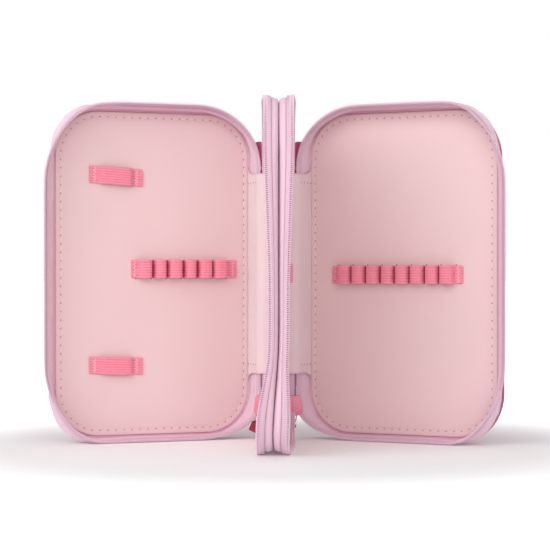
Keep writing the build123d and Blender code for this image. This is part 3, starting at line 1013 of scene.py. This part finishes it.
class MakeZipTeeth(bpy.types.Operator):
    """Winds the nylon coil along each tape and crimps its end stop"""

    bl_idname = "pencil_case.zip_teeth"
    bl_label = "Zip teeth"

    def execute(self, context):
        nylon = nylon_finish("coil_nylon", colours().tooth)
        stop_nylon = nylon_finish("stop_nylon", colours().tape)
        head_length = 1.2
        heel_length = mm(sizes().tooth_reach) - head_length
        for leaf in (*covers, *middles):
            way = -leaf.rise
            end = cover_coil_end if leaf.cover else coil_end
            turns = zip_outline.even(mm(sizes().tooth_pitch), coil_start, end)
            head = small_block((0.64, 1.65, head_length), (0, -0.86, 0.75), 0.22)
            heel = small_block((0.56, 1.5, heel_length), (0, -0.81, 1.35 + heel_length / 2), 0.2)
            tooth = joined_pieces([head, heel])
            inset = zip_inset(leaf, turns, 0.0)
            out = zip_outline.outwards(turns)
            points = zip_outline.points(turns) - out * inset[:, None]
            anchors = np.concatenate([points, np.full((len(turns), 1), 0.85 * way)], 1)
            moved = leaf.settle(anchors) - anchors
            tilts = zip_inset(leaf, turns, 1.0) - inset
            places = []
            for point, side, shift, tilt in zip(points, out, moved, tilts):
                places.append(Matrix((
                    (side[1] * way, side[0], -side[0] * tilt, point[0] + shift[0]),
                    (-side[0] * way, side[1], -side[1] * tilt, point[1] + shift[1]),
                    (0, 0, way, shift[2]), (0, 0, 0, 1))))
            coil = repeated(tooth, places, leaf.name + "_coil")
            pick(coil)
            bpy.ops.object.shade_smooth()
            dressed(leaf.placed(coil, settle=False), leaf.name + "_coil", nylon, leaf.body,
                    [leaf.name + "_zip_coil"])
            stop = smoothed(small_block((1.5, 2.4, 1.1), (0.8, 64.3, 0.78 * way), 0.35, 3), 60)
            dressed(leaf.placed(stop), leaf.name + "_end_stop", stop_nylon, leaf.body,
                    [leaf.name + "_zip_stop"])
        return {"FINISHED"}


class MakeJoinedChains(bpy.types.Operator):
    """Closes the short stretch of zip between each hinge lining and its slider"""

    bl_idname = "pencil_case.joined_chains"
    bl_label = "Joined chains"

    def execute(self, context):
        nylon = nylon_finish("shaded_chain_nylon", colours().chain)
        pitch = mm(sizes().tooth_pitch)
        tooth_count, first_up = 23, -61.9
        places = []
        for step in range(tooth_count):
            side = 1 if step % 2 else -1
            places.append(Matrix.Translation((0.78, first_up - step * pitch / 2, 0.09 * side)))
        for leaf, name in ((middle_left, "left"), (middle_right, "right")):
            teeth = repeated(small_block((1.4, 0.5, 0.6), (0, 0, 0), 0.12), places, "teeth")
            # A strip of the same shaded nylon behind the teeth, so that the chain shows as a dark
            # line: painted shade.
            shade_strip = small_block((0.3, 14.6, 1.12), (0.2, -68.6, 0), 0.08)
            chain = smoothed(joined_pieces([teeth, shade_strip]), 60)
            dressed(leaf.placed(chain, settle=False), name + "_chain", nylon, "middle_leaf",
                    [name + "_joined_chain"])
        return {"FINISHED"}


class MakeShells(bpy.types.Operator):
    """Covers the outer shell of each cover and sews the piping round it"""

    bl_idname = "pencil_case.shells"
    bl_label = "Shells and piping"

    def execute(self, context):
        leather = leather_finish("shell_leather", colours().shell)
        cord_cloth = strip_finish("piping_cloth", colours().piping, 0.6, 0.1, 0.3)
        thread = thread_finish("shell_thread", colours().elastic)
        # Painted shade: a darker copy of the shell's colour in its needle holes.
        hole = matt_finish("shell_needle_hole_shade", [0.35 * part for part in colours().shell])
        radius = mm(sizes().piping_radius)
        turns = shell_outline.even(1.9)
        back = [(24, 20.35), (16, 20.3), (9, 20.15), (6.4, 20.02), (5.2, 19.92),
                (4.6, 19.82), (4.0, 19.92), (3.0, 20.02), (1.6, 19.96), (0.7, 19.72),
                (0.2, 19.3), (0, 18.7), (0, cover_depth)]
        for leaf in covers:
            drawn = shell_inset(leaf, turns)
            rows = [(inset + drawn * smooth((4 - inset) / 3), depth) for inset, depth in back]
            panel(leaf, ring(shell_outline, turns, rows), leaf.name + "_outer_shell", leather,
                  leaf.name + "_shell")
            thread_row(leaf, shell_outline, 4.6, 19.9, leaf.name + "_shell", thread, hole,
                       1)
            rows = []
            for step in range(10, -1, -1):
                turn = 2 * pi * step / 10
                rows.append((drawn - 0.1 - radius * cos(turn), 18.5 + radius * sin(turn)))
            piping = smoothed(merged(sheet_grid(ring(shell_outline, turns, rows))), 180)
            dressed(leaf.placed(piping), leaf.name + "_piping_bead", cord_cloth, leaf.body,
                    [leaf.name + "_piping"])
        return {"FINISHED"}


class MakeDivider(bpy.types.Operator):
    """Makes the stiff sheet between the two tiers"""

    bl_idname = "pencil_case.divider"
    bl_label = "Divider"

    def execute(self, context):
        cloth = board_finish(middle_right, "divider_cloth", colours().seam, colours().crease)
        edge = [(3, -9.9), (0.9, -9.9), (0.6, -10.02), (0.5, -10.3), (0.6, -10.58),
                (0.9, -10.7), (3, -10.7)]
        places = filled_in(ring(seam_outline, seam_outline.even(2.4), edge))
        panel(middle_right, places, "divider_sheet", cloth, "divider_board", 50)
        return {"FINISHED"}


def hinge_line(leaf, depths, stand, reach):
    """Places across a fold, as they are in the case: the cover's side, the bend, the middle's."""
    middle = middle_beside(leaf)
    start, end = leaf.point(stand, 0, reach), middle.point(stand, 0, -reach)
    crease = (leaf.point(stand, 0, 0) + middle.point(stand, 0, 0)) / 2
    line = []
    for depth in depths:
        if abs(depth) > reach:
            line.append((leaf if depth > 0 else middle).point(stand, 0, depth))
        else:
            line.append(bent(start, crease, end, (reach - depth) / (2 * reach)))
    return line


def fold_sheet(leaf, line, heights, flipped, thickness, shares=None):
    """A sheet across a fold: its heights in millimetres, for each place of the line."""
    places = np.zeros((*heights.shape, 3))
    places[..., :2] = np.array([point.xy for point in line])[:, None]
    places[..., 2] = leaf.hinge.z + heights * 0.001
    piece = sheet_grid(places[:, ::-1] if flipped else places, shares, 1000)
    return thickened(piece, thickness, 60)


def stretches(*parts):
    """Numbers in rows: each row runs from one value to another, so many in all."""
    return np.concatenate([np.linspace(*part) for part in parts])


class MakeHingeLinings(bpy.types.Operator):
    """Sews the pale lining that covers each hinge on the inside"""

    bl_idname = "pencil_case.hinge_linings"
    bl_label = "Hinge linings"

    def execute(self, context):
        ink_of = colours()
        thread = thread_finish("hinge_thread", ink_of.thread)
        hole = matt_finish("hinge_needle_hole", ink_of.needle_hole)
        depths = stretches((17.2, 16.3, 4), (16.1, 6.1, 21), (5.6, 2.4, 6), (2, -2, 9),
                           (-2.4, -8.6, 8))
        shares = stretches((-1, -0.99, 2), (-0.975, 0.975, 31), (0.99, 1, 2))
        # Painted shade along the top and bottom hems of the hinge lining.
        hem = 1 - smooth((1 - np.abs(shares)) / 0.02)
        creases = 0.6 * np.repeat(hem[None, :], len(depths), 0)
        rise = np.clip((depths - 6.3) / 10, 0, 1)
        half = 61.3 + 3.6 * (1 - np.sqrt(1 - rise * rise))
        heights = half[:, None] * shares
        for leaf in covers:
            cloth = strip_finish(leaf.name + "_hinge_cloth", ink_of.flap, 0.55, 0.03, 0.25,
                                 ink_of.crease)
            flap = fold_sheet(leaf, hinge_line(leaf, depths, 1.75, 2.1), heights, leaf.side < 0,
                              sizes().hinge_thickness, {"crease": creases})
            dressed(flap, leaf.name + "_hinge_flap", cloth, None,
                    [leaf.name + "_hinge_lining", "middle_" + leaf.name + "_hinge_lining"])
            middle_beside(leaf).point(1.75, 0, -2.2)
            leaf.point(1.75, 0, 2.2)
            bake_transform(flap)
            self.rows(leaf, thread, hole)
        return {"FINISHED"}

    def rows(self, leaf, thread, hole):
        """The short rows of stitches at the top and bottom of a hinge lining."""
        threads, holes = [], []
        for up in (55.8, -55.8):
            for depth in (3.2, 7.4, 11.6, 15.8):
                place = Matrix.Translation((2.48, up, depth))
                holes.append(place @ Matrix.Rotation(pi / 2, 4, "Y"))
            for depth in (5.3, 9.5, 13.7):
                threads.append(Matrix.Translation((2.46, up, depth)))
        stitches(leaf, threads, (0.2, 0.24, 1.5), leaf.name + "_hinge_stitches", thread)
        needle_holes(leaf, holes, 0.38, 0.14, leaf.name + "_hinge_needle_holes", hole)


class MakeSpineCover(bpy.types.Operator):
    """Sews the outer cloth of the spine, in two halves that meet down its middle"""

    bl_idname = "pencil_case.spine_cover"
    bl_label = "Spine cover"

    def execute(self, context):
        cloth = strip_finish("spine_cloth", colours().spine, 0.75, 0.14, 0.3)
        depths = stretches((17.8, 7.6, 12), (7.3, 5.6, 7), (5.2, 2.6, 4), (2.2, -2.2, 11),
                           (-2.6, -5.4, 4), (-5.7, -7.3, 7), (-7.6, -10.3, 4))
        foot = -85 + 16 * smooth((7.2 - np.abs(depths)) / 1.4)
        head = 81 - 1.2 * smooth((4 - np.abs(depths)) / 4)
        heights = foot[:, None] + np.linspace(0, 1, 41) * (head - foot)[:, None]
        for leaf in covers:
            spine = fold_sheet(leaf, hinge_line(leaf, depths, -0.05, 2.3), heights,
                               leaf.side > 0, sizes().spine_thickness)
            nodes = [leaf.name + "_spine_wall"]
            if leaf.side < 0:
                nodes.append("spine_centre_strip")
            dressed(spine, leaf.name + "_spine_cloth", cloth, None, nodes)
            middle_beside(leaf).point(-0.05, 0, -2.4)
            leaf.point(-0.05, 0, 2.4)
            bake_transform(spine)
        return {"FINISHED"}


def elastic_band(leaf, name, path, up, width, finish, node, dips=None, slope=0.0):
    """A ribbed elastic laid along a path of places along the leaf and above its face.

    Between the two places in dips, it has painted shade wherever it is sewn down."""
    path = np.array(path, float)
    along, height = path[:, 0], path[:, 1]
    ribs = sizes().elastic_ribs
    ahead = np.gradient(path, axis=0)
    ahead /= np.linalg.norm(ahead, axis=1)[:, None]
    across = leaf.rise * np.linspace(-1, 1, ribs * 6 + 1)
    wave = np.abs(np.sin((across + 1) / 2 * ribs * pi)) ** 0.7
    rib = wave * mm(sizes().elastic_rib)
    waist = 1 - 0.035 * np.exp(-(height / 1.6) ** 2)
    places = np.zeros((len(path), len(across), 3))
    places[..., 0] = along[:, None] - ahead[:, 1, None] * rib
    places[..., 1] = up + slope * (along - along.mean())[:, None]
    places[..., 1] += across * width / 2 * waist[:, None]
    places[..., 2] = leaf.face + leaf.rise * (height[:, None] + ahead[:, 0, None] * rib)
    # Painted shade: the valley share is 1 where the band is sewn down between two loops, and the
    # groove share is 1 between its ribs.
    dip = np.zeros(len(path))
    if dips:
        dip = 1 - smooth((height - 0.6) / 3.8)
        dip = dip * smooth((along - dips[0]) / 2.5) * smooth((dips[1] - along) / 2.5)
    shares = {"dip": np.repeat(dip[:, None], len(across), 1),
              "groove_shade": np.repeat(((1 - wave) ** 1.5)[None, :], len(path), 0)}
    band = thickened(sheet_grid(places, shares), mm(sizes().elastic_thickness) * 0.8, 70)
    dressed(leaf.placed(band), name, finish, leaf.body, [node])


def zigzag_row(leaf, name, along, up, width, finish):
    """A zigzag row of thread across an elastic."""
    count, reach = 9, 0.95
    places = []
    for step in range(count):
        side = reach if step % 2 else -reach
        start = Vector((along + side, up + (step / count - 0.5) * width))
        end = Vector((along - side, up + ((step + 1) / count - 0.5) * width))
        places.append(laid((end - start).normalized(), *(start + end) / 2,
                           leaf.face + leaf.rise * 1.15))
    stitches(leaf, places, (1.12, 0.22, 0.3), name, finish)


def loop_path(start, lead, widths, tail, heights):
    """Flat end, loops standing up with a sewn valley between each two, and flat end."""
    path = [(place, flat_height) for place in np.linspace(start, start + lead - 0.5, 7)]
    middle = start + lead + loop_half
    for index, (width, height) in enumerate(zip(widths, heights)):
        for turn in np.linspace(0.05, pi - 0.05, 25):
            out = cos(turn)
            spread = 0.5 * width * np.sign(out) * abs(out) ** 0.72
            path.append((middle - spread, 1.0 + (height - 1.0) * sin(turn) ** 0.62))
        if index < len(widths) - 1:
            path.append((middle + loop_pitch / 2, 0.9))
            middle += loop_pitch
    last = middle + loop_half
    return path + [(place, flat_height) for place in np.linspace(last + 0.5, last + tail, 6)]


class MakePencilLoops(bpy.types.Operator):
    """Sews the rows of elastic pencil loops and the two wide tool loops"""

    bl_idname = "pencil_case.pencil_loops"
    bl_label = "Elastic loops"

    def execute(self, context):
        ink_of = colours()
        elastic = elastic_finish("loop_elastic", ink_of.elastic, ink_of.elastic_deep)
        thread = thread_finish("loop_thread", ink_of.elastic_thread)
        hole = matt_finish("loop_needle_hole_shade", ink_of.needle_hole)
        bands = (
            (left_cover, "left", 10.6, 7.3, (8.9, 8.2, 6.9, 8.2, 7.2, 8.4), 3.7, 2.8),
            (right_cover, "right", 17.9, 4.6, (8.4, 7.8, 7.8, 7.4, 7.9, 8.2, 7.6, 8.6), 5.3,
             -0.7),
            (middle_right, "middle", 19.3, 4.6, (8.3, 7.9, 8.1, 7.8, 8.0, 8.2, 7.8, 8.2), 5.0,
             0.0),
        )
        for leaf, side, start, lead, widths, tail, up in bands:
            name = side + "_loop_band"
            heights = [6.7 + 0.25 * sin(2.3 * index + lead) for index in range(len(widths))]
            path = loop_path(start, lead, widths, tail, heights)
            end = path[-1][0]
            elastic_band(leaf, name, path, up, 11.0, elastic, side + "_pencil_loops",
                         (start + lead + 2, end - tail - 2))
            zigzag_row(leaf, name + "_near_zigzag", start + min(lead, 4.2) * 0.6, up, 9.6,
                       thread)
            zigzag_row(leaf, name + "_far_zigzag", end - tail * 0.55, up, 9.6, thread)
            edge = up - 5.9 if leaf is left_cover else up + 5.9
            holes = [Matrix.Translation((start + lead - 0.7 + loop_pitch * index, edge,
                                         leaf.face + leaf.rise * 0.04))
                     for index in range(len(widths) + 1)]
            needle_holes(leaf, holes, 0.42, 0.14, name + "_needle_holes", hole)
        path = [(place, flat_height) for place in np.linspace(71.2, 76.2, 6)]
        for share in np.linspace(0.03, 0.97, 21):
            rise = 2.6 * smooth(share / 0.16) * smooth((1 - share) / 0.16)
            path.append((76.4 + 23.2 * share, flat_height + rise + 0.35 * sin(pi * share)))
        path += [(place, flat_height) for place in np.linspace(100.0, 104.8, 6)]
        for side, up, slope in (("upper", 58.6, 0.055), ("lower", -55.5, 0.035)):
            name = side + "_tool_band"
            elastic_band(left_cover, name, path, up, 10.4, elastic,
                         "left_" + side + "_tool_loop", slope=slope)
            for along, end in ((75.2, "_near_zigzag"), (101.4, "_far_zigzag")):
                zigzag_row(left_cover, name + end, along, up + slope * (along - 88), 9.0, thread)
        return {"FINISHED"}


class MakeSliders(bpy.types.Operator):
    """Casts the two zip sliders and hangs their pulls"""

    bl_idname = "pencil_case.sliders"
    bl_label = "Sliders and pulls"

    def execute(self, context):
        ink_of = colours()
        painted = metal_finish("slider_paint", ink_of.slider, 0.0, 0.3)
        metal = metal_finish("bail_metal", ink_of.metal, 0.9, 0.22)
        rubber = matt_finish("pull_rubber", ink_of.pull)
        for name in ("left", "right"):
            low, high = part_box(name + "_slider")
            bail_low, bail_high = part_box(name + "_pull_bail")
            tab_low, tab_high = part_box(name + "_pull_tab")
            crown = Vector(((low.x + high.x) / 2, 0, (low.z + high.z) / 2))
            wire = Vector((crown.x, 0, bail_low.z))
            self.slider(name, mm(crown.x), mm(low), mm(high), painted)
            bail = self.bail(name, mm(bail_low), mm(bail_high), metal)
            tab = self.tab(name, mm(tab_low), mm(tab_high), rubber)
            # The pulls lean sideways: the tab on its wire, and both on the crown
            for piece, pivot, angle in ((tab, wire, 14), (tab, crown, 12), (bail, crown, 12)):
                lean = Matrix.Translation(pivot) @ Matrix.Rotation(radians(angle), 4, "Y")
                piece.data.transform(lean @ Matrix.Translation(-pivot))
                piece.data.update()
        return {"FINISHED"}

    def upright(self, piece, front, middle=0):
        """Stands a plate that was made flat up in the case, its face to the front."""
        turn = Matrix.Translation((middle, front, 0)) @ Matrix.Rotation(pi / 2, 4, "X")
        piece.data.transform(Matrix.Scale(0.001, 4) @ turn)
        piece.data.update()
        return piece

    def slider(self, name, middle, low, high, finish):
        """Two plates, the post that splits the zip between them, and the crown."""
        top, foot = high.z, low.z
        outline = round_corners([(-3.6, top), (-4.9, foot + 3.4), (-3.8, foot + 0.8), (0, foot),
                                 (3.8, foot + 0.8), (4.9, foot + 3.4), (3.6, top)], 1.35, 6)
        plates = [self.upright(cut_plate(outline, 0.9, 0.28, 3), low.y + front, middle)
                  for front in (0.9, 4.0)]
        post = small_block((0.8, 2.6, 2.9), (middle, low.y + 2.0, foot + 2.05), 0.25, 2)
        post.data.transform(Matrix.Scale(0.001, 4))
        low_end, high_end = (top + foot) / 2 - 4, (top + foot) / 2 + 4
        arch = [(low_end, 0), (low_end + 0.4, 1.7), (low_end + 1.4, 2.2), (high_end - 1.4, 2.2),
                (high_end - 0.4, 1.7), (high_end, 0), (high_end - 1.2, 0),
                (high_end - 1.5, 1.25), (low_end + 1.5, 1.25), (low_end + 1.2, 0)]
        crown = cut_plate(arch, 1.8, 0.22, 2)
        turn = Matrix(((0, 0, 1, middle - 0.9), (0, 1, 0, low.y + 4.0), (1, 0, 0, 0),
                       (0, 0, 0, 1)))
        crown.data.transform(Matrix.Scale(0.001, 4) @ turn)
        crown.data.flip_normals()
        slider = smoothed(joined_pieces([*plates, post, crown]), 40)
        dressed(slider, name + "_slider_body", finish, name + "_slider",
                [name + "_slider"])

    def bail(self, name, low, high, finish):
        """The wire loop: a rounded outline turned into a curve with a round bevel."""
        half = (high.y - low.y) / 2
        left, right, foot, top = low.x + half, high.x - half, low.z + half, high.z - half
        outline = round_corners([(left, top), (left, foot), (right, foot), (right, top)], 1.0, 6)
        pick(outline_circle(outline, "NOTHING"))
        bpy.ops.object.convert(target="CURVE")
        bpy.context.object.data.bevel_depth = half
        bpy.context.object.data.bevel_resolution = 4
        bpy.ops.object.convert(target="MESH")
        bail = self.upright(merged(bpy.context.object), (low.y + high.y) / 2)
        return dressed(smoothed(bail, 80), name + "_bail", finish, name + "_pull",
                       [name + "_pull_bail"])

    def tab(self, name, low, high, finish):
        """The rubber tab: a broad tongue with a narrow neck up to the bail."""
        shoulder = low.z + 6.1
        left, right = (low.x + high.x) / 2 - 1.6, (low.x + high.x) / 2 + 1.6
        corners = [(low.x, shoulder), (low.x + 0.35, low.z), (high.x - 0.35, low.z),
                   (high.x, shoulder), (right, shoulder + 0.7), (right, high.z),
                   (left, high.z), (left, shoulder + 0.7)]
        tab = cut_plate(round_corners(corners, 0.75, 5), 2.0, 0.6, 4)
        return dressed(self.upright(tab, high.y), name + "_tab", finish, name + "_pull",
                       [name + "_pull_tab"])


class SetStage(bpy.types.Operator):
    """Lays the pale floor, sets the soft lamps and stands the camera"""

    bl_idname = "pencil_case.stage"
    bl_label = "Stage"

    def execute(self, context):
        self.floor()
        self.lamp("key_light", (-1.4, -1.6, 1.2), 1.6, 23)
        self.lamp("front_light", (0.15, -2.2, 0.8), 1.7, 20)
        self.lamp("top_light", (0.0, 0.1, 1.9), 1.7, 8)
        self.world()
        photo_pixels, focal_pixels = 550, 1880
        camera = bpy.data.cameras.new("photo_camera")
        camera.sensor_width = 36
        camera.lens = camera.sensor_width * focal_pixels / photo_pixels
        camera.clip_start = 0.05
        camera.clip_end = 60
        stand = bpy.data.objects.new("photo_camera", camera)
        context.scene.collection.objects.link(stand)
        # The photo was taken level, from in front of the spine at mid-height
        spine = (left_cover.hinge + right_cover.hinge) / 2
        stand.location = (spine.x - 0.0021, spine.y - 1.15, spine.z - 0.0009)
        stand.rotation_euler = (pi / 2, 0, 0)
        context.scene.camera = stand
        context.scene.view_settings.view_transform = "Standard"
        return {"FINISHED"}

    def floor(self):
        """A matt floor that glows a little near the case and fades to white away from it."""
        deselect()
        bpy.ops.mesh.primitive_plane_add(size=60, location=(0, 0, 0))
        floor = bpy.context.object
        floor.name = "floor"
        paint = Paint("studio_floor")
        rays = paint.node("ShaderNodeLightPath").outputs
        tint = paint.shaded((0.9, 0.89, 0.895), 0.005, paint.noise(3, 2))
        matt = paint.node("ShaderNodeBsdfDiffuse", None, {"Color": tint})
        glow, white, fill = (
            paint.node("ShaderNodeEmission", None, {"Color": (1, 1, 1), "Strength": strength})
            for strength in (0.045, 1.0, 0.14))
        seen = Amount(paint, rays["Is Camera Ray"]) + Amount(paint, rays["Is Glossy Ray"])
        away = paint.amount("ShaderNodeVectorMath", {"operation": "LENGTH"}, [paint.place()],
                            "Value").eased(0.14, 0.36)
        near = paint.node("ShaderNodeMixShader", None, [away, glow, white])
        lift = paint.node("ShaderNodeMixShader", None, [seen, fill, near])
        both = paint.node("ShaderNodeAddShader", None, [matt, lift])
        paint.node("ShaderNodeOutputMaterial", None, [both])
        floor.data.materials.append(paint.owner)

    def lamp(self, name, place, size, power):
        light = bpy.data.lights.new(name, "AREA")
        light.size = size
        light.energy = power
        lamp = bpy.data.objects.new(name, light)
        bpy.context.scene.collection.objects.link(lamp)
        lamp.location = place
        aim = Vector((0, 0, 0.1)) - Vector(place)
        lamp.rotation_euler = aim.to_track_quat("-Z", "Y").to_euler()

    def world(self):
        """White behind the case, and a soft grey light from all round."""
        paint = Paint("studio", bpy.data.worlds)
        bpy.context.scene.world = paint.owner
        rays = paint.node("ShaderNodeLightPath").outputs
        white = paint.node("ShaderNodeBackground", None, {"Color": (1, 1, 1), "Strength": 1.0})
        air = paint.node("ShaderNodeBackground", None,
                         {"Color": (1, 0.99, 0.99), "Strength": 0.4})
        seen = Amount(paint, rays["Is Camera Ray"])
        seen = seen.joined("MAXIMUM", seen, rays["Is Transmission Ray"])
        mix = paint.node("ShaderNodeMixShader", None, [seen, air, white])
        paint.node("ShaderNodeOutputWorld", None, [mix])


steps = (MakeLiningBoards, MakeDivider, MakeShells, MakeSoftWalls, MakeZipTapes, MakeZipTeeth,
         MakeJoinedChains, MakeHingeLinings, MakeSpineCover, MakePencilLoops, MakeSliders,
         SetStage)


class PencilCasePanel(bpy.types.Panel):
    """Lists the steps and settings of the pencil case"""

    bl_idname = "VIEW3D_PT_pencil_case"
    bl_label = "Pencil case"
    bl_space_type = "VIEW_3D"
    bl_region_type = "UI"
    bl_category = "Pencil case"

    def draw(self, context):
        for step in steps:
            self.layout.operator(step.bl_idname)
        for group in (context.scene.pencil_case_sizes, context.scene.pencil_case_colours):
            box = self.layout.box()
            for name in group.bl_rna.properties.keys():
                if name not in ("rna_type", "name"):
                    box.prop(group, name)


classes = (PencilCaseSizes, PencilCaseColours, *steps, PencilCasePanel)


def register():
    for item in classes:
        bpy.utils.register_class(item)
    bpy.types.Scene.pencil_case_sizes = PointerProperty(type=PencilCaseSizes)
    bpy.types.Scene.pencil_case_colours = PointerProperty(type=PencilCaseColours)


def unregister():
    del bpy.types.Scene.pencil_case_colours
    del bpy.types.Scene.pencil_case_sizes
    for item in reversed(classes):
        bpy.utils.unregister_class(item)


def main():
    register()
    for step in steps:
        group, name = step.bl_idname.split(".")
        getattr(getattr(bpy.ops, group), name)()
    deselect()


if __name__ == "__main__":
    main()
